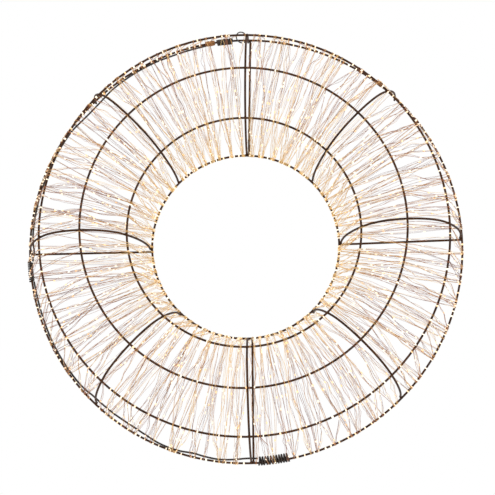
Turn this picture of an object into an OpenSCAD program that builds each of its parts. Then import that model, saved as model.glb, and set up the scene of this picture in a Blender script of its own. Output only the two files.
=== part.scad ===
// Deep wire wreath frame with a wound light string.
// It hangs on a wall: the wall is the plane y = 0, the front faces -Y and 12 o'clock is +Z.
// The origin is the wreath's centre on the wall plane.

/* [Frame] */
// Outside diameter of the outer back ring
rim_d = 500; // [490:1:510]
// Clear diameter of the hole inside the inner back ring
hole_d = 213; // [205:1:220]
// Height of the crown ring above the back rings, wire centre to wire centre
arch_h = 111; // [108:0.5:114]
// Radius of the arch at the crown
crown_r = 54; // [52:0.5:56]
// Distance of the two shoulder rings from the middle of the band
shoulder_w = 48.8; // [47:0.1:50]
// Diameter of the frame wire
wire_d = 2.4; // [2:0.1:3]
// How far two welded wires sink into each other
weld_sink = 0.1; // [0.05:0.01:0.15]

/* [Hanging ring] */
// Outside diameter of the hanging ring
eye_d = 14.6; // [14.2:0.1:14.8]
// Wire diameter of the hanging ring
eye_wire_d = 1.4; // [1.2:0.1:1.4]
// Place of the hanging ring along the top of the outer back ring, from 12 o'clock
eye_x = -4.9; // [-5.2:0.1:-4.9]
// Turn of the hanging ring away from facing the front
eye_turn = 24; // [24:1:27]

/* [Light string] */
// Turns of the light string in each of the eight bays
string_turns = 22; // [4:1:26]
// Diameter of the light string
string_d = 0.5; // [0.3:0.05:0.6]

/* [Lead] */
// Diameter of the lead
lead_d = 2.1; // [1.8:0.1:2.2]
// Outside diameter of the sleeve between the light string and the lead
sleeve_d = 6.7; // [6.2:0.1:6.7]

/* [Hidden] */
$fn = 48;
// Gap between parts that lie on each other without a weld
rest_gap = 0.05;
// Play between the hanging ring and the wire that it hangs on
eye_play = 1.0;
wire_r = wire_d / 2;
string_r = string_d / 2;
lead_r = lead_d / 2;
// Ring wire centres: distance from the wreath's axis
outer_r = rim_d / 2 - wire_r;
inner_r = hole_d / 2 + wire_r;
mid_r = (outer_r + inner_r) / 2;
half_w = (outer_r - inner_r) / 2;
shoulder_out_r = mid_r + shoulder_w;
shoulder_in_r = mid_r - shoulder_w;
// The arch is a three-centred curve: a crown arc and two flatter side arcs that meet it smoothly
side_r = (pow(half_w, 2) + pow(arch_h, 2) - 2 * arch_h * crown_r) / (2 * (half_w - crown_r));
side_angle = atan2(arch_h - crown_r, side_r - half_w);
// Height of the shoulder rings, on the side arcs
shoulder_h = sqrt(pow(side_r, 2) - pow(shoulder_w + side_r - half_w, 2));
// A rib lies inside the rings, a wire's thickness further in
rib_inset = wire_d - weld_sink;
// The wall touches the lead where it is wound round the outer back ring
back_gap = wire_r + rest_gap + lead_d;

// Places of the ribs, counterclockwise from 3 o'clock as seen from the front, as bent and welded by hand
RIB_ANGLES = [2, 45, 89.3, 135.5, 181.5, 227, 271.5, 315];
// Each back spoke: the rib it stands beside, and how far its inner and outer ends lie to the side of that rib
SPOKES = [[1, -2.5, -2.5], [3, -2.5, -2.5], [5, 3.6, 2.5], [7, 4.8, 2.5]];

// Room that the string's bends keep from the wires: usual, round the outer back ring, and over the string tie
wrap = wire_r + string_r + 0.35;
wrap_outer = wire_r + string_r + 1.3;
wrap_over_tie = wire_r + lead_d + string_r + 0.9;
// Angles that the string keeps from the rib where a bay starts, past any lead winding there, and from the rib
// where the bay ends
STRING_STARTS = [3.5, 3.5, 12.4, 3.5, 8.8, 3.5, 10.8, 3.5];
string_end = 1.6;
// Share of a turn's step that the string makes on its way over the front
front_share = 0.6;

// Lead windings, as angles along their ring
TOP_WINDING = [93.4, 98];
SLEEVE = [98.4, 101];
LEFT_WINDING = [184, 189.5];
BOTTOM_WINDING = [273.2, 281.5];
TIE = [47, 48.6];
tie_d = 5.6;
// The bottom bundle reaches this far in from the outer back ring's wire centre
bundle_in = 7.5;

// Routes of the lead above and below its left winding: angle, distance from the wreath's axis, and height above
// the back rings' wire centres
UPPER_ROUTE = [
    [101, 246.4, 0.4], [106, 246, 0.4], [111, 245.8, 0.4], [116, 246.4, 0.4], [121, 246.4, 0.4], [126, 246, 0.4],
    [130, 245.4, 0.4], [133, 244, 0.4], [136, 243.2, 0.4], [139, 243.2, 0.4], [142, 244.2, 0.4],
    [145, 245.8, 0.4], [149, 246.4, 0.4], [155, 246.4, 0.4], [161, 246.4, 0.4], [167, 246.4, 0.4],
    [173, 246.3, 0.4], [177, 246, 0.8], [179.5, 244.8, 1.8], [181.3, 243.6, 2.6], [182.3, 243.9, 2.5],
    [183.2, 245.3, 1.2], [184, 245.3, 1.2]
];
LOWER_ROUTE = [
    [189.5, 246.3, 0.6], [194, 246, 0.4], [200, 246, 0.4], [207, 246.4, 0.4], [214, 246.4, 0.4],
    [221, 246, 0.4], [225, 244, 0.4], [228, 243.6, 0.4], [232, 243.4, 0.4], [238, 243, 0.4], [243, 244.4, 0.4],
    [247, 246.3, 0.4], [252, 246.3, 0.4], [256, 244.6, 0.4], [259, 245.4, 0.4], [263, 246.2, 0.6],
    [267, 245, 1.6], [269.5, 243.8, 2.4], [271.3, 243.5, 2.6], [272.3, 243.8, 2.6], [273.2, 243.9, 2.4]
];
// Steps of the smooth curve between two points of the route, and sides of the tube
route_steps = 2;
lead_sides = 8;

// Everything is drawn lying on its back, with height along +Z, and is then stood up against the wall
module stand_up() {
    rotate([90, 0, 0])
        translate([0, 0, back_gap])
            children();
}

// A wire hoop about the wreath's axis
module hoop(radius, height) {
    color("#3f332c")
        stand_up()
            translate([0, 0, height])
                rotate_extrude($fn = 180)
                    translate([radius, 0])
                        circle(d = wire_d);
}

// An arc of wire that stands in the XZ plane about the point (centre_x, centre_z)
module standing_arc(centre_x, centre_z, radius, from, to, d) {
    translate([centre_x, 0, centre_z])
        rotate([90, 0, 0])
            rotate([0, 0, from])
                rotate_extrude(angle = to - from, $fn = 120)
                    translate([radius, 0])
                        circle(d = d);
}

module rib(i) {
    foot = asin(wire_r / (side_r - rib_inset));
    color("#4a3c33")
        stand_up()
            rotate([0, 0, RIB_ANGLES[i - 1]]) {
                standing_arc(mid_r + half_w - side_r, 0, side_r - rib_inset, -foot, side_angle, wire_d);
                standing_arc(mid_r, arch_h - crown_r, crown_r - rib_inset, side_angle, 180 - side_angle, wire_d);
                standing_arc(mid_r - half_w + side_r, 0, side_r - rib_inset, 180 - side_angle, 180 + foot, wire_d);
            }
}

// A straight wire between the two back rings, its ends sunk a little into their sides
module back_spoke(i) {
    aside_in = SPOKES[i - 1][1];
    aside_out = SPOKES[i - 1][2];
    first = sqrt(pow(inner_r + wire_r, 2) - pow(aside_in, 2)) - weld_sink;
    last = sqrt(pow(outer_r - wire_r, 2) - pow(aside_out, 2)) + weld_sink;
    lean = atan2(aside_out - aside_in, last - first);
    color("#5a5048")
        stand_up()
            rotate([0, 0, RIB_ANGLES[SPOKES[i - 1][0] - 1]])
                translate([first, aside_in, 0])
                    rotate([0, 90, lean])
                        cylinder(d = wire_d, h = (last - first) / cos(lean));
}

// A closed ring threaded loosely on the outer back ring; the inside of its foot is below that wire
module hanging_ring() {
    eye_r = (eye_d - eye_wire_d) / 2;
    eye_rise = eye_r - eye_wire_d / 2 - wire_r - eye_play;
    color("#77736e")
        stand_up()
            translate([eye_x, sqrt(pow(outer_r, 2) - pow(eye_x, 2)) + eye_rise, 0])
                rotate([0, eye_turn, 0])
                    rotate_extrude($fn = 96)
                        translate([eye_r, 0])
                            circle(d = eye_wire_d, $fn = 32);
}

// Vector helpers
function unit(v) = v / norm(v);
function polar(p) = [p[1] * cos(p[0]), p[1] * sin(p[0]), p[2]];

// One flat cross-section of a tube at point i of a path, mitred at the bend; about is the bend's own axis
function section(path, i, about, r, sides) =
    let (
        last = len(path) - 1,
        before = unit(path[max(i, 1)] - path[max(i, 1) - 1]),
        after = unit(path[min(i, last - 1) + 1] - path[min(i, last - 1)]),
        along = unit(before + after),
        across = unit(about - (about * along) * along),
        up = cross(along, across) / max(0.2, before * along)
    )
    [for (k = [0 : sides - 1])
        let (turn = (k + 0.5) * 360 / sides)
        path[i] + r * cos(turn) * across + r * sin(turn) * up];

// Faces of a tube of n sections, with its two flat ends
function tube_faces(n, sides) = concat(
    [[for (k = [0 : sides - 1]) k]],
    [for (i = [0 : n - 2], k = [0 : sides - 1])
        let (a = i * sides + k, b = i * sides + (k + 1) % sides)
        [a, a + sides, b + sides, b]],
    [[for (k = [sides - 1 : -1 : 0]) (n - 1) * sides + k]]
);

module tube(path, abouts, r, sides) {
    polyhedron(
        points = [for (i = [0 : len(path) - 1]) each section(path, i, abouts[i], r, sides)],
        faces = tube_faces(len(path), sides),
        convexity = 10
    );
}

// The five bends of one turn of the string, as distance from the axis and height: round the inner back ring,
// over the inner shoulder, the crown and the outer shoulder, and round the outer back ring
function bends(over_shoulder) =
    let (back = -(wire_r + rest_gap + string_r), lean = 35)
    [
        [inner_r - wrap - string_r, back],
        [shoulder_in_r - wrap * cos(lean), shoulder_h + wrap * sin(lean)],
        [mid_r, arch_h + wrap],
        [shoulder_out_r + over_shoulder * cos(lean), shoulder_h + over_shoulder * sin(lean)],
        [outer_r + wrap_outer, back]
    ];

// Route of the string in one bay: it goes over the front from the inside out, and back behind the rings
function string_route(from, to, turn_bends) =
    let (
        turns = round(string_turns * (to - from) / 40),
        step = (to - from) / turns
    )
    [for (t = [0 : turns - 1], k = [0 : 4])
        [from + step * (t + front_share * k / 4), turn_bends[k][0], turn_bends[k][1]]];

module light_string(i) {
    from = RIB_ANGLES[i - 1] + STRING_STARTS[i - 1];
    to = (i < 8 ? RIB_ANGLES[i] : RIB_ANGLES[0] + 360) - string_end;
    over_shoulder = i == 2 ? wrap_over_tie : wrap;
    route = string_route(from, to, bends(over_shoulder));
    color("#a8714a")
        stand_up()
            tube(
                [for (p = route) polar(p)],
                [for (p = route) [-sin(p[0]), cos(p[0]), 0]],
                string_r,
                4
            );
}

// A stretch of winding on a ring wire: a sleeve bent with the ring
module winding(radius, height, span, d) {
    stand_up()
        translate([0, 0, height])
            rotate([0, 0, span[0]])
                difference() {
                    rotate_extrude(angle = span[1] - span[0], $fn = 180)
                        translate([radius, 0])
                            circle(d = d);
                    rotate_extrude($fn = 180)
                        translate([radius, 0])
                            circle(d = wire_d + 2 * rest_gap);
                }
}

module joint_sleeve() {
    color("#7a4a22")
        winding(outer_r, 0, SLEEVE, sleeve_d);
}

module lead_winding_top() {
    color("#241a14")
        winding(outer_r, 0, TOP_WINDING, wire_d + 2 * lead_d + 2 * rest_gap);
}

module lead_winding_left() {
    color("#241a14")
        winding(outer_r, 0, LEFT_WINDING, wire_d + 2 * lead_d + 2 * rest_gap);
}

module string_tie() {
    color("#4a2f1c")
        winding(shoulder_out_r, shoulder_h, TIE, tie_d);
}

// A loose bundle of turns that hugs the outer back ring and hangs in towards the wreath's middle
module lead_winding_bottom() {
    coil_r = wire_r + lead_d + rest_gap;
    color("#1f1712")
        stand_up()
            rotate([0, 0, BOTTOM_WINDING[0]])
                difference() {
                    rotate_extrude(angle = BOTTOM_WINDING[1] - BOTTOM_WINDING[0], $fn = 180) {
                        translate([outer_r, 0])
                            circle(r = coil_r);
                        translate([outer_r - bundle_in + coil_r, 0])
                            circle(r = coil_r);
                        translate([outer_r - bundle_in + coil_r, -coil_r])
                            square([bundle_in - coil_r, 2 * coil_r]);
                    }
                    rotate_extrude($fn = 180)
                        translate([outer_r, 0])
                            circle(r = wire_r + rest_gap);
                }
}

// A smooth curve through four points, at t from 0 to 1 between the middle two
function smooth(a, b, c, d, t) =
    0.5 * (2 * b + (c - a) * t + (2 * a - 5 * b + 4 * c - d) * t * t + (3 * b - a - 3 * c + d) * t * t * t);

function smooth_route(points) =
    let (last = len(points) - 1)
    concat(
        [for (i = [0 : last - 1], s = [0 : route_steps - 1])
            smooth(points[max(i - 1, 0)], points[i], points[i + 1], points[min(i + 2, last)], s / route_steps)],
        [points[last]]
    );

module lead_run(points) {
    route = smooth_route(points);
    color("#2b211b")
        stand_up()
            tube([for (p = route) polar(p)], [for (p = route) [0, 0, 1]], lead_r, lead_sides);
}

hoop(outer_r, 0);  // outer_back_ring
hoop(inner_r, 0);  // inner_back_ring
hoop(shoulder_out_r, shoulder_h);  // outer_front_ring
hoop(mid_r, arch_h);  // crown_ring
hoop(shoulder_in_r, shoulder_h);  // inner_front_ring
for (i = [1 : 8]) {
    rib(i);
    light_string(i);
}
for (i = [1 : 4]) {
    back_spoke(i);
}
hanging_ring();
joint_sleeve();
lead_winding_top();
lead_run(UPPER_ROUTE);  // lead_run_upper
lead_winding_left();
lead_run(LOWER_ROUTE);  // lead_run_lower
lead_winding_bottom();
string_tie();
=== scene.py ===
"""Looks of a deep wire wreath frame that is wound all round with a fine copper light string.

The wires of the frame are the CAD nodes with better materials. The light string, its drops, the lead,
the sleeves and the weld beads are made here, around the hoops of the CAD frame.
"""

import math

import bpy
import numpy as np
from bpy.props import FloatProperty, FloatVectorProperty, IntProperty, PointerProperty
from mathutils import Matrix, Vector


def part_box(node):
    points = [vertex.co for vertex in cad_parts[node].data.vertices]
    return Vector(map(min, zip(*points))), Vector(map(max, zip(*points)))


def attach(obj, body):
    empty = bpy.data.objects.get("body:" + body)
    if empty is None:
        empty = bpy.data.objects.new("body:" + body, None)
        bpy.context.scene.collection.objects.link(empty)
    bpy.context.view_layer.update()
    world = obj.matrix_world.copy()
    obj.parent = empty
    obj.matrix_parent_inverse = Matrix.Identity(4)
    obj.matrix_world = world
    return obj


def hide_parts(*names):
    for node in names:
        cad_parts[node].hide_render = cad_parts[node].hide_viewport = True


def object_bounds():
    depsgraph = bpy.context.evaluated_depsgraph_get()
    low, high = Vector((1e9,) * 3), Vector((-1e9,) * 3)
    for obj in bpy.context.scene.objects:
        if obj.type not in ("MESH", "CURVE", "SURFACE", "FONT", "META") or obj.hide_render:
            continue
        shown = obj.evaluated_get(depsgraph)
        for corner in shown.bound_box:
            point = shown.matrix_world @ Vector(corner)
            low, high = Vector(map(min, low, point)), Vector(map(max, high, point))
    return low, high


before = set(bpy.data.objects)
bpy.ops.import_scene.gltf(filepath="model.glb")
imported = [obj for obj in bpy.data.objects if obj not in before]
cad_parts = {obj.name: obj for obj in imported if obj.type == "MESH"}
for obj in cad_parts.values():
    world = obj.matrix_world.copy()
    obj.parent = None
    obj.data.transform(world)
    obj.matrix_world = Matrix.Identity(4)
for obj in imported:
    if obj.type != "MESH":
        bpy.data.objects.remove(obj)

bl_info = {
    "name": "Lit wire wreath",
    "version": (1, 0, 0),
    "blender": (4, 5, 0),
    "location": "3D View > Sidebar > Wreath",
    "description": "Winds the light string and its lead onto the wire wreath frame and finishes its wires",
    "category": "Object",
}

MM = 0.001
BODY = "frame"
CAD_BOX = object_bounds()


# ---------------------------------------------------------------- places, taken from the frame

class Hoop:
    """A wire hoop: its wire's distance from the axis, height above the back hoops, and radius."""

    def __init__(self, node, back=None):
        low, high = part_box(node)
        self.wire = (high.y - low.y) / 2
        self.radius = (high.x - low.x) / 2 - self.wire
        self.y = (high.y + low.y) / 2
        self.height = 0.0 if back is None else back.y - self.y


OUTER_BACK = Hoop("outer_back_ring")
INNER_BACK = Hoop("inner_back_ring", OUTER_BACK)
OUTER_FRONT = Hoop("outer_front_ring", OUTER_BACK)
CROWN = Hoop("crown_ring", OUTER_BACK)
INNER_FRONT = Hoop("inner_front_ring", OUTER_BACK)
# In the order in which the string crosses them on its way over the front
HOOPS = [INNER_BACK, INNER_FRONT, CROWN, OUTER_FRONT, OUTER_BACK]
RIB_NODES = [f"rib_{i}" for i in range(1, 9)]
SPOKE_NODES = [f"back_spoke_{i}" for i in range(1, 5)]


def node_points(node):
    """Corner points of a CAD node's mesh."""
    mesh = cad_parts[node].data
    flat = np.empty(len(mesh.vertices) * 3)
    mesh.vertices.foreach_get("co", flat)
    return flat.reshape(-1, 3)


def bearing(node):
    """Angle of a node about the wreath's axis, counterclockwise from 3 o'clock as seen from the front."""
    middle = node_points(node).mean(axis=0)
    return math.atan2(middle[2], middle[0]) % math.tau


RIBS = [bearing(name) for name in RIB_NODES]


def place(angle, radius, height):
    """Points at an angle about the axis, a distance from it and a height above the back hoops' centres."""
    angle, radius, height = np.broadcast_arrays(angle, radius, height)
    return np.stack([radius * np.cos(angle), OUTER_BACK.y - height, radius * np.sin(angle)], axis=-1)


def sideways(angle):
    """Unit vectors along the hoops at these angles."""
    angle = np.asarray(angle, float)
    return np.stack([-np.sin(angle), np.zeros_like(angle), np.cos(angle)], axis=-1)


def span_of(node):
    """First and last angle that a short node covers along its hoop."""
    points = node_points(node)
    middle = bearing(node)
    angles = np.arctan2(points[:, 2], points[:, 0])
    offsets = (angles - middle + math.pi) % math.tau - math.pi
    return middle + offsets.min(), middle + offsets.max()


# ---------------------------------------------------------------- meshes

def make_piece(name, points, faces, material, replaces=(), tones=None, body=BODY):
    """A smooth mesh piece that rides on a body and replaces CAD nodes, with a tone at each point."""
    # Whatever rests on the wall, or lies foremost, is pressed flat within the frame's own depth
    points[:, 1] = np.clip(points[:, 1], CAD_BOX[0].y + 0.01 * MM, CAD_BOX[1].y - 0.01 * MM)
    mesh = bpy.data.meshes.new(name)
    mesh.from_pydata(points.tolist(), [], faces)
    mesh.update()
    mesh.polygons.foreach_set("use_smooth", np.ones(len(mesh.polygons), bool))
    if tones is not None:
        attribute = mesh.attributes.new("tone", "FLOAT", "POINT")
        attribute.data.foreach_set("value", np.asarray(tones, np.float32))
    mesh.materials.append(material)
    piece = bpy.data.objects.new(name, mesh)
    bpy.context.scene.collection.objects.link(piece)
    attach(piece, body)
    if replaces:
        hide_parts(*replaces)
    return piece


class Builder:
    """Gathers tubes and lumps into one mesh."""

    def __init__(self):
        self.points = []
        self.tones = []
        self.faces = []
        self.count = 0

    def tube(self, path, across, radius, sides, tone=0.5):
        """A round tube along a path. across holds one vector a point that isn't along the path there."""
        path = np.asarray(path, float)
        along = np.gradient(path, axis=0)
        along /= np.linalg.norm(along, axis=1)[:, None]
        across = across - (across * along).sum(axis=1)[:, None] * along
        across /= np.linalg.norm(across, axis=1)[:, None]
        up = np.cross(along, across)
        turn = (np.arange(sides) + 0.5) * math.tau / sides
        radius = np.broadcast_to(radius, len(path))[:, None, None]
        ring = across[:, None] * np.cos(turn)[None, :, None] + up[:, None] * np.sin(turn)[None, :, None]
        self._add(path[:, None] + radius * ring, np.broadcast_to(tone, len(path)), sides)

    def _add(self, rings, tones, sides):
        """Joins rings of points with quads, and closes both ends."""
        n = len(rings)
        start = self.count
        self.points.append(rings.reshape(-1, 3))
        self.tones.append(np.repeat(tones, sides))
        self.count += n * sides
        k = np.arange(sides)
        after = (k + 1) % sides
        base = start + np.arange(n - 1)[:, None] * sides
        quads = np.stack([base + k, base + after, base + sides + after, base + sides + k], axis=-1)
        self.faces.extend(quads.reshape(-1, 4).tolist())
        self.faces.append((start + k[::-1]).tolist())
        self.faces.append((start + (n - 1) * sides + k).tolist())

    def lump(self, centre, axes, rng, rough=0.12, sides=8, rings=6, tone=0.5, taper=0.0):
        """A small rounded lump: axes holds its three half-lengths as vectors, and taper thins its far end."""
        tilt = np.linspace(0.12, math.pi - 0.12, rings)
        turn = np.arange(sides) * math.tau / sides
        swell = 1 + rng.uniform(-rough, rough, (rings, sides))
        waist = np.sin(tilt) * (1 - taper * np.linspace(-1, 1, rings))
        a = (waist[:, None] * np.cos(turn))[..., None] * swell[..., None] * axes[0]
        b = (waist[:, None] * np.sin(turn))[..., None] * swell[..., None] * axes[1]
        c = -np.cos(tilt)[:, None, None] * axes[2]
        self._add(centre + a + b + c, np.full(rings, tone), sides)

    def piece(self, name, material, slot, replaces=(), body=BODY):
        points = np.concatenate(self.points)
        tones = np.concatenate(self.tones)
        return make_piece(name, points, self.faces, material, replaces, tones, body)


# ---------------------------------------------------------------- materials

def new_material(name, **uniform):
    """A material with one Principled shader, whose uniform values are set on its own sockets."""
    material = bpy.data.materials.new(name)
    material.use_nodes = True
    shader = material.node_tree.nodes["Principled BSDF"]
    for socket, value in uniform.items():
        shader.inputs[socket.replace("_", " ")].default_value = value
    return material, material.node_tree, shader


def add_node(tree, kind, **inputs):
    """A node whose named inputs are set to a value or linked to another node's output."""
    node = tree.nodes.new(kind)
    for key, value in inputs.items():
        socket = node.inputs[int(key[1:])] if key[1:].isdigit() else node.inputs[key.replace("_", " ")]
        if isinstance(value, bpy.types.NodeSocket):
            tree.links.new(value, socket)
        else:
            socket.default_value = value
    return node


def noise(tree, place_socket, scale, detail=2.0, roughness=0.5):
    """Grey noise on the object's own coordinates, scale in features a metre."""
    node = add_node(tree, "ShaderNodeTexNoise", Vector=place_socket, Scale=scale, Detail=detail,
                    Roughness=roughness)
    return node.outputs["Fac"]


def ramp(tree, factor, stops):
    """A colour ramp with stops of (position, colour)."""
    node = add_node(tree, "ShaderNodeValToRGB", Fac=factor)
    elements = node.color_ramp.elements
    for index, (position, colour) in enumerate(stops):
        element = elements[index] if index < 2 else elements.new(position)
        element.position = position
        element.color = (*colour[:3], 1.0)
    return node.outputs["Color"]


def remap(tree, value, low, high, to_low, to_high):
    node = add_node(tree, "ShaderNodeMapRange", Value=value, From_Min=low, From_Max=high, To_Min=to_low,
                    To_Max=to_high)
    return node.outputs["Result"]


def bump(tree, shader, height, distance, strength=1.0):
    node = add_node(tree, "ShaderNodeBump", Height=height, Distance=distance, Strength=strength)
    tree.links.new(node.outputs["Normal"], shader.inputs["Normal"])


def object_place(tree):
    return tree.nodes.new("ShaderNodeTexCoord").outputs["Object"]


def mixed(tree, factor, first, second):
    """A blend of two colours, each a value or another node's output."""
    node = tree.nodes.new("ShaderNodeMix")
    node.data_type = "RGBA"
    for index, value in ((0, factor), (6, first), (7, second)):
        if isinstance(value, bpy.types.NodeSocket):
            tree.links.new(value, node.inputs[index])
        elif index == 0:
            node.inputs[index].default_value = value
        else:
            node.inputs[index].default_value = (*value[:3], 1.0)
    return node.outputs[2]


def lacquered_wire(name, dark, worn):
    """Dark lacquer on drawn steel wire: patchy, a little rough, worn to brown where the coat is thin."""
    material, tree, shader = new_material(name, Metallic=0.0, Specular_IOR_Level=0.06)
    where = object_place(tree)
    patches = noise(tree, where, 90.0, 4.0, 0.6)
    specks = noise(tree, where, 900.0, 3.0, 0.7)
    base = ramp(tree, patches, [(0.35, dark), (0.68, worn)])
    speck = remap(tree, specks, 0.62, 0.75, 0.0, 0.6)
    tree.links.new(mixed(tree, speck, base, worn), shader.inputs["Base Color"])
    tree.links.new(remap(tree, patches, 0.3, 0.7, 0.38, 0.62), shader.inputs["Roughness"])
    bump(tree, shader, specks, 0.00012, 0.5)
    return material


def bare_wire(name, light, dark):
    """Dull grey steel with fine drawing marks."""
    material, tree, shader = new_material(name, Metallic=0.85)
    where = object_place(tree)
    marks = noise(tree, where, 1500.0, 3.0, 0.6)
    stains = noise(tree, where, 250.0, 3.0, 0.6)
    tree.links.new(ramp(tree, stains, [(0.35, dark), (0.7, light)]), shader.inputs["Base Color"])
    tree.links.new(remap(tree, marks, 0.3, 0.7, 0.3, 0.55), shader.inputs["Roughness"])
    bump(tree, shader, marks, 0.00008, 0.5)
    return material


def copper_strand(name, brown, copper, gold_and_glow):
    """Enamelled copper wire: each strand has its own tone, and towards the wreath's hole it is blended to
    gold as painted glow of the lights on the strands.
    """
    material, tree, shader = new_material(name, Metallic=0.1, Specular_IOR_Level=0.12)
    where = object_place(tree)
    tone = add_node(tree, "ShaderNodeAttribute")
    tone.attribute_name = "tone"
    ripple = noise(tree, where, 70.0, 3.0, 0.6)
    grain = noise(tree, where, 1400.0, 2.0, 0.5)
    shift = remap(tree, ripple, 0.3, 0.7, -0.3, 0.3)
    own = add_node(tree, "ShaderNodeMath", _0=tone.outputs["Fac"], _1=shift)
    own.operation = "ADD"
    shade = ramp(tree, own.outputs[0], [(0.1, brown), (0.9, gold_and_glow), (0.5, copper)])
    apart = add_node(tree, "ShaderNodeSeparateXYZ", Vector=where)
    across = add_node(tree, "ShaderNodeCombineXYZ", X=apart.outputs["X"], Z=apart.outputs["Z"])
    distance = add_node(tree, "ShaderNodeVectorMath", _0=across.outputs[0])
    distance.operation = "LENGTH"
    # Painted glow: near the wreath's hole the strands are blended to gold, standing in for the lights' glow
    # on them
    glow = remap(tree, distance.outputs["Value"], INNER_BACK.radius, INNER_FRONT.radius + 0.03, 0.85, 0.0)
    tree.links.new(mixed(tree, glow, shade, gold_and_glow), shader.inputs["Base Color"])
    tree.links.new(remap(tree, grain, 0.3, 0.7, 0.3, 0.5), shader.inputs["Roughness"])
    bump(tree, shader, grain, 0.00003, 0.4)
    return material


def lit_resin(name, rim, core, strength):
    """Clear resin over a warm white light: brightest in the drops with a high tone."""
    material, tree, shader = new_material(name, Roughness=0.12, Coat_Weight=1.0, Coat_Roughness=0.05,
                                          Emission_Strength=strength)
    where = object_place(tree)
    tone = add_node(tree, "ShaderNodeAttribute")
    tone.attribute_name = "tone"
    cloud = noise(tree, where, 700.0, 2.0, 0.5)
    shift = remap(tree, cloud, 0.3, 0.7, -0.25, 0.25)
    own = add_node(tree, "ShaderNodeMath", _0=tone.outputs["Fac"], _1=shift)
    own.operation = "ADD"
    shade = ramp(tree, own.outputs[0], [(0.15, rim), (0.6, core)])
    tree.links.new(shade, shader.inputs["Base Color"])
    tree.links.new(shade, shader.inputs["Emission Color"])
    return material


def soft_insulation(name, dark, light, stretch=1.0):
    """Soft plastic insulation in cloudy patches of its dark and light colours, with a slight sheen: dust in
    its folds on the lead, painted glow of the lights on the sleeve.
    """
    material, tree, shader = new_material(name, Specular_IOR_Level=0.35, Sheen_Weight=0.08)
    where = object_place(tree)
    cloud = noise(tree, where, 120.0 * stretch, 3.0, 0.6)
    grain = noise(tree, where, 1200.0, 3.0, 0.6)
    tree.links.new(ramp(tree, cloud, [(0.35, dark), (0.72, light)]), shader.inputs["Base Color"])
    tree.links.new(remap(tree, grain, 0.3, 0.7, 0.42, 0.65), shader.inputs["Roughness"])
    bump(tree, shader, grain, 0.00008, 0.5)
    return material


# ---------------------------------------------------------------- the string's way round the hoops

def normals_between():
    """For each hoop, the direction from its wire that the string leaves it in, and first meets it in.

    Directions are angles in the plane through the axis, from straight out, towards the front. The string
    goes round all five hoops like a belt, so they fall by a full turn from the first hoop to the last."""
    leave = []
    for here, there in zip(HOOPS[:-1], HOOPS[1:]):
        out = there.radius - here.radius
        up = there.height - here.height
        leave.append(math.atan2(out, -up) % math.tau)
    leave.append(-math.pi / 2)
    meet = [1.5 * math.pi] + leave[:-1]
    return meet, leave


MEET, LEAVE = normals_between()


# How far past a sleeve or a winding the string still passes over it, as angles in radians
TIE_MARGIN = 0.012
WINDING_MARGIN = 0.003
# How far the string sinks in between the lead's turns and into the soft sleeve
VALLEY = 0.3 * MM


class Clearance:
    """How far out the string has to pass over a hoop, where a lead or a sleeve is on it."""

    def __init__(self, gap):
        self.gap = gap
        self.on_back = [(span_of(node), self.thickness(node)) for node in
                        ("lead_winding_top", "joint_sleeve", "lead_winding_left", "lead_winding_bottom")]
        self.on_front = [(span_of("string_tie"), self.thickness("string_tie"))]

    @staticmethod
    def thickness(node):
        low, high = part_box(node)
        return (high.y - low.y) / 2

    def at(self, hoop, angle):
        """Distance from the hoop's wire centre to the string's centre."""
        if hoop is OUTER_FRONT:
            for (first, last), thickness in self.on_front:
                if first - TIE_MARGIN < angle % math.tau < last + TIE_MARGIN:
                    return thickness + self.gap
        if hoop is OUTER_BACK:
            # The string lies in the valleys between the lead's turns and presses into the soft sleeve
            for (first, last), thickness in self.on_back:
                if first - WINDING_MARGIN < angle % math.tau < last + WINDING_MARGIN:
                    return thickness - self.gap - VALLEY
        return hoop.wire + self.gap


LEAD_RADIUS = 1.05 * MM
# The hanging ring swings over the start of this bay, counted from 0, and the string keeps so far from it
HANGER_BAY = 2
HANGER_ROOM = 4 * MM
# Room between the string and the ribs at both ends of a bay
RIB_ROOM = 2.0 * MM
# How strongly the turns bunch together on each hoop, 0 not at all and 1 wholly
BUNCHING = (0.7, 0.75, 0.5, 0.5, 0.6)
# Chances of 0, 1 and 2 extra loops of the string where it goes round a back hoop, and the room for each
LOOP_CHANCES = [0.3, 0.45, 0.25]
LOOP_STEP = 0.8 * MM
# Average distance between the glowing collars round each hoop: lit drops bound tightly to it, and painted
# glints of light on the string's wraps
GLINT_COLLAR_GAPS = (7.0, 55.0, 80.0, 18.0, 8.5)
GLINT_COLLAR_RIB_ROOM = 4 * MM


def smooth_noise(rng, count, knots):
    """Smooth random values about 0, one a point."""
    values = rng.normal(0, 1, knots)
    return np.interp(np.linspace(0, knots - 1, count), np.arange(knots), values)


def bunched(rng, angles, pull):
    """Angles pulled together in small groups, as turns that slipped along a hoop until they met."""
    angles = np.sort(angles)
    out = angles.copy()
    start = 0
    while start < len(angles):
        size = int(rng.integers(1, 5))
        group = slice(start, start + size)
        out[group] += pull * (angles[group].mean() - angles[group])
        start += size
    return out


def crossings(rng, settings, bay):
    """How many turns one bay has, and the angle at which each turn crosses each hoop."""
    first, last = RIBS[bay], RIBS[(bay + 1) % 8] + (math.tau if bay == 7 else 0)
    turns = max(2, round(settings.turns * (last - first) / math.radians(45)))
    columns = []
    for hoop, pull in zip(HOOPS, BUNCHING):
        clear = RIB_ROOM / hoop.radius
        low, high = first + clear, last - clear
        if hoop is OUTER_BACK and bay == HANGER_BAY:
            low = max(low, span_of("hanging_ring")[1] + HANGER_ROOM / hoop.radius)
        even = low + (high - low) * (np.arange(turns) + 0.5) / turns
        loose = even + rng.normal(0, settings.wander, turns) / hoop.radius
        columns.append(np.clip(bunched(rng, loose, pull), low, high))
    return turns, columns


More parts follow.
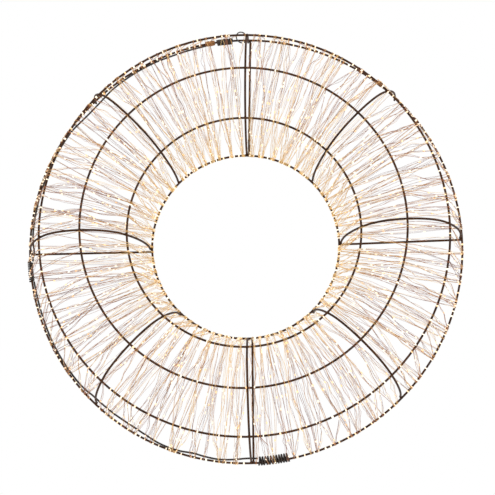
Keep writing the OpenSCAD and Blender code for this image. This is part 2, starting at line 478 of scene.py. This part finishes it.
def string_path(rng, settings, bay, clearance):
    """Centre line of the string in one bay, with its angle at each point and whether it hangs free there."""
    turns, columns = crossings(rng, settings, bay)
    angles, radii, heights, free = [], [], [], []

    def run(a0, p0, a1, p1, count, slack):
        """A nearly straight stretch between two hoops, a little kinked."""
        t = np.linspace(0, 1, count + 2)[1:-1]
        hold = np.sin(math.pi * t)
        radius = p0[0] + (p1[0] - p0[0]) * t
        kink = smooth_noise(rng, count, 5) * 0.6 * MM
        kink = kink + smooth_noise(rng, count, max(4, count // 2)) * 0.3 * MM
        angles.append(a0 + (a1 - a0) * t + hold * kink * settings.kink / radius)
        lift = hold * smooth_noise(rng, count, 4) * slack
        radii.append(radius + 0.3 * lift)
        heights.append(p0[1] + (p1[1] - p0[1]) * t + lift)
        free.append(np.ones(count))

    def bend(hoop, angle, distance, start, end, advance=0.0):
        """An arc round a hoop's wire."""
        count = max(3, int(abs(start - end) / 0.5) + 1)
        turn = np.linspace(start, end, count)
        angles.append(angle + np.linspace(0, advance, count))
        radii.append(hoop.radius + distance * np.cos(turn))
        heights.append(hoop.height + distance * np.sin(turn))
        free.append(np.zeros(count))
        return radii[-1][-1], heights[-1][-1]

    for turn in range(turns):
        previous = None
        for k, hoop in enumerate(HOOPS):
            angle = columns[k][turn]
            distance = clearance.at(hoop, angle) + rng.uniform(0, 0.25) * MM
            start, end, advance = MEET[k], LEAVE[k], 0.0
            if k in (0, 4):
                loops = int(rng.choice([0, 1, 2], p=LOOP_CHANCES))
                if clearance.at(hoop, angle) > hoop.wire + clearance.gap + 1e-6:
                    loops = 0
                end -= loops * math.tau
                advance = loops * LOOP_STEP / hoop.radius
            entry = (hoop.radius + distance * math.cos(start), hoop.height + distance * math.sin(start))
            if previous is not None:
                run(previous[0], previous[1], angle, entry, 12, 0.5 * MM)
            exit_point = bend(hoop, angle, distance, start, end, advance)
            previous = (angle + advance, exit_point)
        if turn + 1 < turns:
            back = clearance.at(INNER_BACK, columns[0][turn + 1])
            entry = (INNER_BACK.radius + back * math.cos(MEET[0]),
                     INNER_BACK.height + back * math.sin(MEET[0]))
            run(previous[0], previous[1], columns[0][turn + 1], entry, 14, 0.15 * MM)
    return np.concatenate(angles), np.concatenate(radii), np.concatenate(heights), np.concatenate(free)


def strand_paths(rng, settings, bay, clearance):
    """The fine wires of the string in one bay: they part between the hoops and meet on them."""
    angle, radius, height, free = string_path(rng, settings, bay, clearance)
    count = len(angle)
    ease = np.convolve(free, np.ones(7) / 7, mode="same") ** 2
    paths = []
    for strand in range(settings.strands):
        side = (strand - (settings.strands - 1) / 2) * settings.strand_d * 1.1
        drift = smooth_noise(rng, count, count // 5) * settings.spread * ease
        lift = smooth_noise(rng, count, count // 6) * 0.25 * MM * ease
        own_angle = angle + (side + drift) / radius
        paths.append((own_angle, place(own_angle, radius, height + lift)))
    return paths


# ---------------------------------------------------------------- the lead

# The lead's routes above and below its left winding: angle in degrees, distance from the axis, height in mm
UPPER_ROUTE = [
    (101, 246.4, 0.4), (106, 246, 0.4), (111, 245.8, 0.4), (116, 246.4, 0.4), (121, 246.4, 0.4),
    (126, 246, 0.4), (130, 245.4, 0.4), (133, 244, 0.4), (136, 243.2, 0.4), (139, 243.2, 0.4),
    (142, 244.2, 0.4), (145, 245.8, 0.4), (149, 246.4, 0.4), (155, 246.4, 0.4), (161, 246.4, 0.4),
    (167, 246.4, 0.4), (173, 246.3, 0.4), (177, 246, 0.8), (179.5, 244.8, 1.8), (181.3, 243.6, 2.6),
    (182.3, 243.9, 2.5), (183.2, 245.3, 1.2), (184, 245.3, 1.2),
]
LOWER_ROUTE = [
    (189.5, 246.3, 0.6), (194, 246, 0.4), (200, 246, 0.4), (207, 246.4, 0.4), (214, 246.4, 0.4),
    (221, 246, 0.4), (225, 244, 0.4), (228, 243.6, 0.4), (232, 243.4, 0.4), (238, 243, 0.4),
    (243, 244.4, 0.4), (247, 246.3, 0.4), (252, 246.3, 0.4), (256, 244.6, 0.4), (259, 245.4, 0.4),
    (263, 246.2, 0.6), (267, 245, 1.6), (269.5, 243.8, 2.4), (271.3, 243.5, 2.6), (272.3, 243.8, 2.6),
    (273.2, 243.9, 2.4),
]


def smooth_route(route, steps=8):
    """The route's points joined by a smooth curve, as angle in radians, and distance and height in metres."""
    points = np.array(route, float)
    padded = np.vstack([points[:1], points, points[-1:]])
    out = []
    for a, b, c, d in zip(padded[:-3], padded[1:-2], padded[2:-1], padded[3:]):
        t = np.arange(steps)[:, None] / steps
        second = (2 * a - 5 * b + 4 * c - d) * t ** 2
        third = (3 * b - a - 3 * c + d) * t ** 3
        out.append(0.5 * (2 * b + (c - a) * t + second + third))
    out.append(points[-1:])
    curve = np.vstack(out)
    return np.radians(curve[:, 0]), curve[:, 1] * MM, curve[:, 2] * MM


def coil_path(hoop, first, last, turns, coil, rng, uneven=0.2, reach=0.0):
    """A helix round a hoop's wire. reach stretches each turn so far towards the wreath's middle."""
    count = int(turns * 16) + 1
    t = np.linspace(0, 1, count)
    turn = math.tau * turns * t
    wobble = np.interp(t, np.linspace(0, 1, int(turns) + 2), rng.uniform(-uneven, uneven, int(turns) + 2))
    angle = first + (last - first) * np.clip(t + wobble / turns * np.sin(math.pi * t), 0, 1)
    inward = np.clip(-np.cos(turn), 0, 1)
    radius = hoop.radius + coil * np.cos(turn) - inward * reach
    return angle, radius, hoop.height + coil * np.sin(turn)


# ---------------------------------------------------------------- settings

class WreathWireSettings(bpy.types.PropertyGroup):
    dark: FloatVectorProperty(name="Lacquer", description="Colour of the wire where its lacquer is whole",
                              default=(0.034, 0.016, 0.009), subtype="COLOR", min=0, max=1)
    worn: FloatVectorProperty(name="Worn lacquer", description="Colour of the wire where its lacquer is thin",
                              default=(0.085, 0.038, 0.018), subtype="COLOR", min=0, max=1)
    steel: FloatVectorProperty(name="Hanging ring", description="Colour of the hanging ring's bare steel",
                               default=(0.12, 0.115, 0.11), subtype="COLOR", min=0, max=1)
    bead: FloatProperty(name="Weld bead", description="Half-width of the weld beads where wires cross",
                        default=1.45 * MM, unit="LENGTH", min=0.5 * MM, max=2.5 * MM)


class WreathStringSettings(bpy.types.PropertyGroup):
    turns: IntProperty(name="Turns", description="Turns of the light string in each bay between two ribs",
                       default=24, min=4, max=30)
    strands: IntProperty(name="Strands", description="Fine wires that the light string is made of",
                         default=3, min=1, max=4)
    strand_d: FloatProperty(name="Strand diameter", description="Diameter of one fine wire",
                            default=0.35 * MM, unit="LENGTH", min=0.1 * MM, max=0.6 * MM)
    wander: FloatProperty(name="Wander", description="How unevenly the turns cross the hoops",
                          default=4.2 * MM, unit="LENGTH", min=0.0, max=10 * MM)
    kink: FloatProperty(name="Kinks", description="How kinked the string is between the hoops, 1 as by hand",
                        default=1.0, min=0.0, max=3.0)
    spread: FloatProperty(name="Spread", description="How far the strands part between the hoops",
                          default=1.5 * MM, unit="LENGTH", min=0.0, max=4 * MM)
    brown: FloatVectorProperty(name="Brown", description="Colour of the darkest strands",
                               default=(0.2, 0.062, 0.03), subtype="COLOR", min=0, max=1)
    copper: FloatVectorProperty(name="Copper", description="Colour of most strands",
                                default=(0.46, 0.17, 0.066), subtype="COLOR", min=0, max=1)
    # Gold is both the brightest strands' own tone and the painted glow of the lights on the strands by the
    # hole
    gold_and_glow: FloatVectorProperty(name="Gold", description="Colour of the brightest strands and by the hole",
                              default=(0.95, 0.64, 0.26), subtype="COLOR", min=0, max=1)
    seed: IntProperty(name="Seed", description="Start of the random draws", default=7, min=0, max=999)


class WreathDropSettings(bpy.types.PropertyGroup):
    spacing: FloatProperty(name="Spacing", description="Length of string from one light drop to the next",
                           default=0.075, unit="LENGTH", min=0.03, max=0.5)
    length: FloatProperty(name="Length", description="Length of one light drop",
                          default=3.2 * MM, unit="LENGTH", min=1 * MM, max=8 * MM)
    width: FloatProperty(name="Width", description="Width of one light drop",
                         default=1.7 * MM, unit="LENGTH", min=0.5 * MM, max=4 * MM)
    rim: FloatVectorProperty(name="Amber", description="Colour of the drops that shine least",
                             default=(1.0, 0.6, 0.27), subtype="COLOR", min=0, max=1)
    core: FloatVectorProperty(name="Warm white", description="Colour of the drops that shine most",
                              default=(1.0, 0.88, 0.68), subtype="COLOR", min=0, max=1)
    glow: FloatProperty(name="Glow", description="Brightness of the lights", default=0.6, min=0.0, max=10.0)


class WreathLeadSettings(bpy.types.PropertyGroup):
    dark: FloatVectorProperty(name="Lead", description="Colour of the lead's insulation",
                              default=(0.012, 0.008, 0.006), subtype="COLOR", min=0, max=1)
    light: FloatVectorProperty(name="Dusty lead", description="Colour of the lead where it is dusty or worn",
                               default=(0.05, 0.034, 0.026), subtype="COLOR", min=0, max=1)
    sleeve: FloatVectorProperty(name="Sleeve", description="Colour of the joint sleeve's folds",
                                default=(0.05, 0.018, 0.006), subtype="COLOR", min=0, max=1)
    painted_glow_amber: FloatVectorProperty(name="Lit sleeve", description="Colour of the sleeve where it is lit",
                               default=(0.55, 0.24, 0.07), subtype="COLOR", min=0, max=1)


class WreathStageSettings(bpy.types.PropertyGroup):
    azimuth: FloatProperty(name="Azimuth", description="Turn of the camera about the upright axis",
                           default=math.radians(1.3), subtype="ANGLE")
    elevation: FloatProperty(name="Elevation", description="Camera height as an angle, below 0 it looks up",
                             default=math.radians(-12.1), subtype="ANGLE")
    distance: FloatProperty(name="Distance", description="Distance from the camera to the wreath's middle",
                            default=1.899, unit="LENGTH", min=0.5, max=10)
    lens: FloatProperty(name="Lens", description="Focal length in millimetres",
                        default=120.0, min=20, max=300)
    aim_right: FloatProperty(name="Aim right", description="How far right of the middle the camera aims",
                             default=2.2 * MM, unit="LENGTH")
    aim_down: FloatProperty(name="Aim down", description="How far below the middle the camera aims",
                            default=1.7 * MM, unit="LENGTH")
    floor_depth: FloatProperty(name="Floor", description="Depth of the floor below the wreath's middle",
                               default=0.75, unit="LENGTH", min=0.3, max=3)
    floor_size: FloatProperty(name="Floor size", description="Half the floor's width",
                              default=1.6, unit="LENGTH")
    room: FloatProperty(name="Room light", description="Brightness of the plain white room",
                        default=1.0, min=0, max=3)


# ---------------------------------------------------------------- operators

class WREATH_OT_frame_finish(bpy.types.Operator):
    """Give the frame's wires and the hanging ring their lacquer and steel"""
    bl_idname = "wreath.frame_finish"
    bl_label = "Finish frame wires"

    def execute(self, context):
        settings = context.scene.wreath_wire
        lacquer = lacquered_wire("frame_lacquer", settings.dark, settings.worn)
        steel = bare_wire("bare_steel", settings.steel, [0.4 * c for c in settings.steel])
        wires = ["outer_back_ring", "inner_back_ring", "outer_front_ring", "crown_ring", "inner_front_ring"]
        for name in wires + RIB_NODES + SPOKE_NODES:
            self.coat(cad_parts[name], lacquer)
        self.coat(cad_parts["hanging_ring"], steel)
        return {"FINISHED"}

    @staticmethod
    def coat(piece, material):
        piece.data.materials.clear()
        piece.data.materials.append(material)


class WREATH_OT_weld_beads(bpy.types.Operator):
    """Add a weld bead wherever a rib or a spoke meets a hoop"""
    bl_idname = "wreath.weld_beads"
    bl_label = "Add weld beads"

    def execute(self, context):
        settings = context.scene.wreath_wire
        rng = np.random.default_rng(11)
        builder = Builder()
        for rib in RIBS:
            for k, hoop in enumerate(HOOPS):
                inward = (MEET[k] + LEAVE[k]) / 2 + math.pi
                if hoop.height < hoop.wire:
                    inward = 0.0 if k == 0 else math.pi
                depth = hoop.wire
                spot = place(rib, hoop.radius + depth * math.cos(inward),
                             hoop.height + depth * math.sin(inward))
                radial = place(rib, 1.0, 0.0) - place(rib, 0.0, 0.0)
                axis = math.cos(inward) * radial + math.sin(inward) * np.array([0.0, -1.0, 0.0])
                along = sideways(rib)
                across = np.cross(axis, along)
                size = settings.bead * rng.uniform(0.85, 1.15)
                builder.lump(spot, (along * size * 1.15, across * size * 1.15, axis * size * 0.8), rng)
        for node in SPOKE_NODES:
            self.spoke_beads(builder, node, settings.bead, rng)
        material = lacquered_wire("bead_lacquer", settings.dark, settings.worn)
        builder.piece("weld_beads", material, "frame_wire")
        return {"FINISHED"}

    @staticmethod
    def spoke_beads(builder, node, bead, rng):
        points = node_points(node)
        reach = np.hypot(points[:, 0], points[:, 2])
        for limit, hoop in ((reach.min(), INNER_BACK), (reach.max(), OUTER_BACK)):
            end = points[np.abs(reach - limit) < 1.5 * MM].mean(axis=0)
            angle = math.atan2(end[2], end[0])
            radial = place(angle, 1.0, 0.0) - place(angle, 0.0, 0.0)
            size = bead * rng.uniform(0.85, 1.1)
            axes = (sideways(angle) * size * 1.2, np.array([0.0, -1.0, 0.0]) * size * 0.85,
                    radial * size * 0.9)
            builder.lump(end, axes, rng)


class WREATH_OT_light_string(bpy.types.Operator):
    """Wind the light string round the hoops, bay by bay, with its light drops"""
    bl_idname = "wreath.light_string"
    bl_label = "Wind light string"

    def execute(self, context):
        settings = context.scene.wreath_string
        drops = context.scene.wreath_drops
        material = copper_strand("copper_strand", settings.brown, settings.copper, settings.gold_and_glow)
        resin = lit_resin("lit_resin", drops.rim, drops.core, drops.glow)
        clearance = Clearance(settings.strand_d / 2 + 0.02 * MM)
        drop_and_glint_builder = Builder()
        for bay in range(8):
            rng = np.random.default_rng(settings.seed * 100 + bay)
            builder = Builder()
            for angle, path in strand_paths(rng, settings, bay, clearance):
                count = len(path)
                tone = np.clip(0.5 + 0.4 * smooth_noise(rng, count, max(4, count // 40)), 0, 1)
                builder.tube(path, sideways(angle), settings.strand_d / 2, 4, tone)
                self.hang_drops(drop_and_glint_builder, rng, path, drops)
            builder.piece(f"light_string_wires_{bay + 1}", material, "light_string",
                          replaces=(f"light_string_{bay + 1}",))
        self.painted_glint_collars(drop_and_glint_builder, drops)
        drop_and_glint_builder.piece("light_drops_and_glint_collars", resin, "light_drop")
        return {"FINISHED"}

    @staticmethod
    def painted_glint_collars(builder, drops):
        """Glowing collars round the hoops, closest together on the two back hoops: lit drops that the string
        binds tightly to them, and painted glints of light on the string's copper wraps.
        """
        rng = np.random.default_rng(43)
        covered = [span_of(node) for node in ("lead_winding_top", "joint_sleeve", "lead_winding_left",
                                              "lead_winding_bottom", "hanging_ring")]
        for hoop, gap in zip(HOOPS, GLINT_COLLAR_GAPS):
            angle = rng.uniform(0, gap) * MM / hoop.radius
            while angle < math.tau - 0.01:
                half = rng.uniform(0.35, 0.75) * drops.length
                angle += (rng.uniform(0.6, 1.4) * gap * MM) / hoop.radius
                if hoop is OUTER_BACK and any(first - 0.01 < angle < last + 0.01 for first, last in covered):
                    continue
                from_rib = min(abs((angle - rib + math.pi) % math.tau - math.pi) for rib in RIBS)
                if from_rib * hoop.radius < GLINT_COLLAR_RIB_ROOM:
                    continue
                thick = hoop.wire + rng.uniform(0.2, 0.4) * MM
                radial = place(angle, 1.0, 0.0) - place(angle, 0.0, 0.0)
                axes = (radial * thick, np.array([0.0, -1.0, 0.0]) * thick, sideways(angle) * half)
                # Each collar glows with the lit resin, partly as a drop and partly as a painted glint of
                # light on the wraps round the hoop
                builder.lump(place(angle, hoop.radius, hoop.height), axes, rng, rough=0.08, sides=8, rings=6,
                             tone=rng.uniform(0.2, 1))

    @staticmethod
    def hang_drops(builder, rng, path, drops):
        """Sets drops along one strand, at about the same distance from each other."""
        step = np.linalg.norm(np.diff(path, axis=0), axis=1)
        travelled = np.concatenate([[0.0], np.cumsum(step)])
        position = rng.uniform(0, 2 * drops.spacing)
        while position < travelled[-1] - 0.01:
            i = int(np.searchsorted(travelled, position)) - 1
            i = min(max(i, 1), len(path) - 2)
            along = path[i + 1] - path[i]
            along /= np.linalg.norm(along)
            out = np.array([0.0, -1.0, 0.0]) - along * -along[1]
            out /= np.linalg.norm(out)
            side = np.cross(along, out)
            half = drops.width / 2
            axes = (side * half, out * half, along * drops.length / 2)
            centre = path[i] + (path[i + 1] - path[i]) * 0.5
            builder.lump(centre, axes, rng, rough=0.03, sides=6, rings=5, tone=rng.uniform(0, 1), taper=0.25)
            position += 2 * drops.spacing * rng.uniform(0.85, 1.15)


class WREATH_OT_lead(bpy.types.Operator):
    """Lay the lead along the frame and wind it on at the top, the left and the bottom"""
    bl_idname = "wreath.lead"
    bl_label = "Lay lead"

    def execute(self, context):
        settings = context.scene.wreath_lead
        material = soft_insulation("lead_insulation", settings.dark, settings.light)
        rng = np.random.default_rng(23)
        for name, route in (("lead_run_upper", UPPER_ROUTE), ("lead_run_lower", LOWER_ROUTE)):
            angle, radius, height = smooth_route(route)
            builder = Builder()
            path = place(angle, radius, height)
            facing = np.broadcast_to([0.0, -1.0, 0.0], path.shape)
            builder.tube(path, facing, LEAD_RADIUS, 10)
            builder.piece(name + "_cable", material, "lead", replaces=(name,))
        coil = OUTER_BACK.wire + LEAD_RADIUS + 0.05 * MM
        self.wind(OUTER_BACK, "lead_winding_top", 10, coil, material, rng, 1.2 * MM)
        self.wind(OUTER_BACK, "lead_winding_left", 9, coil, material, rng)
        self.wind(OUTER_BACK, "lead_winding_bottom", 11, coil, material, rng, 4.0 * MM)
        return {"FINISHED"}

    @staticmethod
    def wind(hoop, node, turns, coil, material, rng, reach=0.0):
        first, last = span_of(node)
        edge = LEAD_RADIUS / hoop.radius
        angle, radius, height = coil_path(hoop, first + edge, last - edge, turns, coil, rng, reach=reach)
        builder = Builder()
        builder.tube(place(angle, radius, height), sideways(angle), LEAD_RADIUS * 0.96, 10)
        builder.piece(node + "_turns", material, "lead", replaces=(node,))


class WREATH_OT_sleeves(bpy.types.Operator):
    """Shrink the joint sleeve and the string tie onto their hoops"""
    bl_idname = "wreath.sleeves"
    bl_label = "Fit sleeves"

    def execute(self, context):
        settings = context.scene.wreath_lead
        # The sleeve's light colour is painted glow of the lights, laid on in cloudy patches
        brown = soft_insulation("brown_sleeve", settings.sleeve, settings.painted_glow_amber, 4.0)
        rng = np.random.default_rng(31)
        for node, hoop in (("joint_sleeve", OUTER_BACK), ("string_tie", OUTER_FRONT)):
            first, last = span_of(node)
            low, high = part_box(node)
            thick = (high.y - low.y) / 2
            count = 15
            angle = np.linspace(first, last, count)
            rim = np.minimum(np.arange(count), np.arange(count)[::-1])
            radius = thick * np.clip(0.82 + 0.06 * rim, 0, 1) * (1 - rng.uniform(0, 0.08, count))
            path = place(angle, hoop.radius, hoop.height)
            facing = np.broadcast_to([0.0, -1.0, 0.0], path.shape)
            builder = Builder()
            builder.tube(path, facing, radius, 16)
            builder.piece(node + "_skin", brown, "sleeve", replaces=(node,))
        return {"FINISHED"}


class WREATH_OT_stage(bpy.types.Operator):
    """Set up the camera, the soft light, the plain room and the pale floor"""
    bl_idname = "wreath.stage"
    bl_label = "Set stage"

    def execute(self, context):
        settings = context.scene.wreath_stage
        self.camera(context, settings)
        self.room(context, settings)
        self.floor(context, settings)
        for name, where, size, power in (("key_light", (-1.4, -1.8, 1.6), 1.5, 14.0),
                                         ("fill_light", (1.8, -1.4, 0.3), 1.5, 6.0)):
            self.area_light(context, name, Vector(where), size, power)
        return {"FINISHED"}

    @staticmethod
    def camera(context, settings):
        middle = Vector((settings.aim_right, OUTER_BACK.y, -settings.aim_down))
        level = math.cos(settings.elevation)
        towards = Vector((math.sin(settings.azimuth) * level, -math.cos(settings.azimuth) * level,
                          math.sin(settings.elevation)))
        data = bpy.data.cameras.new("camera")
        data.lens = settings.lens
        data.sensor_width = 36.0
        camera = bpy.data.objects.new("camera", data)
        camera.location = middle + towards * settings.distance
        camera.rotation_euler = (-towards).to_track_quat("-Z", "Y").to_euler()
        context.scene.collection.objects.link(camera)
        context.scene.camera = camera

    @staticmethod
    def room(context, settings):
        world = bpy.data.worlds.new("plain_room")
        world.use_nodes = True
        backdrop = world.node_tree.nodes["Background"]
        backdrop.inputs["Color"].default_value = (1.0, 1.0, 1.0, 1.0)
        backdrop.inputs["Strength"].default_value = settings.room
        context.scene.world = world
        context.scene.view_settings.view_transform = "Standard"

    @staticmethod
    def floor(context, settings):
        half = settings.floor_size
        corners = [(-half, -half), (half, -half), (half, half), (-half, half)]
        mesh = bpy.data.meshes.new("floor")
        mesh.from_pydata([(x, y, -settings.floor_depth) for x, y in corners], [], [(0, 1, 2, 3)])
        material, tree, shader = new_material("pale_floor", Roughness=0.8)
        cloud = noise(tree, object_place(tree), 3.0, 3.0, 0.5)
        shade = ramp(tree, cloud, [(0.3, (0.84, 0.84, 0.83)), (0.7, (0.88, 0.88, 0.875))])
        tree.links.new(shade, shader.inputs["Base Color"])
        mesh.materials.append(material)
        floor = bpy.data.objects.new("floor", mesh)
        context.scene.collection.objects.link(floor)

    @staticmethod
    def area_light(context, name, where, size, power):
        data = bpy.data.lights.new(name, "AREA")
        data.shape = "DISK"
        data.size = size
        data.energy = power
        light = bpy.data.objects.new(name, data)
        light.location = where
        light.rotation_euler = (-where).to_track_quat("-Z", "Y").to_euler()
        light.visible_camera = False
        context.scene.collection.objects.link(light)


class WREATH_PT_panel(bpy.types.Panel):
    """Steps that build the lit wreath"""
    bl_label = "Lit wire wreath"
    bl_idname = "WREATH_PT_panel"
    bl_space_type = "VIEW_3D"
    bl_region_type = "UI"
    bl_category = "Wreath"

    def draw(self, context):
        for group, steps in PANEL_ROWS:
            box = self.layout.box()
            settings = getattr(context.scene, group)
            for key in settings.__annotations__:
                box.prop(settings, key)
            for step in steps:
                box.operator(step)


PANEL_ROWS = [
    ("wreath_wire", ("wreath.frame_finish", "wreath.weld_beads")),
    ("wreath_string", ("wreath.light_string",)),
    ("wreath_drops", ()),
    ("wreath_lead", ("wreath.lead", "wreath.sleeves")),
    ("wreath_stage", ("wreath.stage",)),
]
GROUPS = {
    "wreath_wire": WreathWireSettings,
    "wreath_string": WreathStringSettings,
    "wreath_drops": WreathDropSettings,
    "wreath_lead": WreathLeadSettings,
    "wreath_stage": WreathStageSettings,
}
STEPS = (WREATH_OT_stage, WREATH_OT_frame_finish, WREATH_OT_weld_beads, WREATH_OT_light_string,
         WREATH_OT_lead, WREATH_OT_sleeves)


def register():
    for group in GROUPS.values():
        bpy.utils.register_class(group)
    for step in (*STEPS, WREATH_PT_panel):
        bpy.utils.register_class(step)
    for key, group in GROUPS.items():
        setattr(bpy.types.Scene, key, PointerProperty(type=group))


def unregister():
    for key in GROUPS:
        delattr(bpy.types.Scene, key)
    for step in (*reversed(STEPS), WREATH_PT_panel):
        bpy.utils.unregister_class(step)
    for group in GROUPS.values():
        bpy.utils.unregister_class(group)


def main():
    register()
    bpy.ops.wreath.stage()
    bpy.ops.wreath.frame_finish()
    bpy.ops.wreath.weld_beads()
    bpy.ops.wreath.light_string()
    bpy.ops.wreath.lead()
    bpy.ops.wreath.sleeves()


if __name__ == "__main__":
    main()
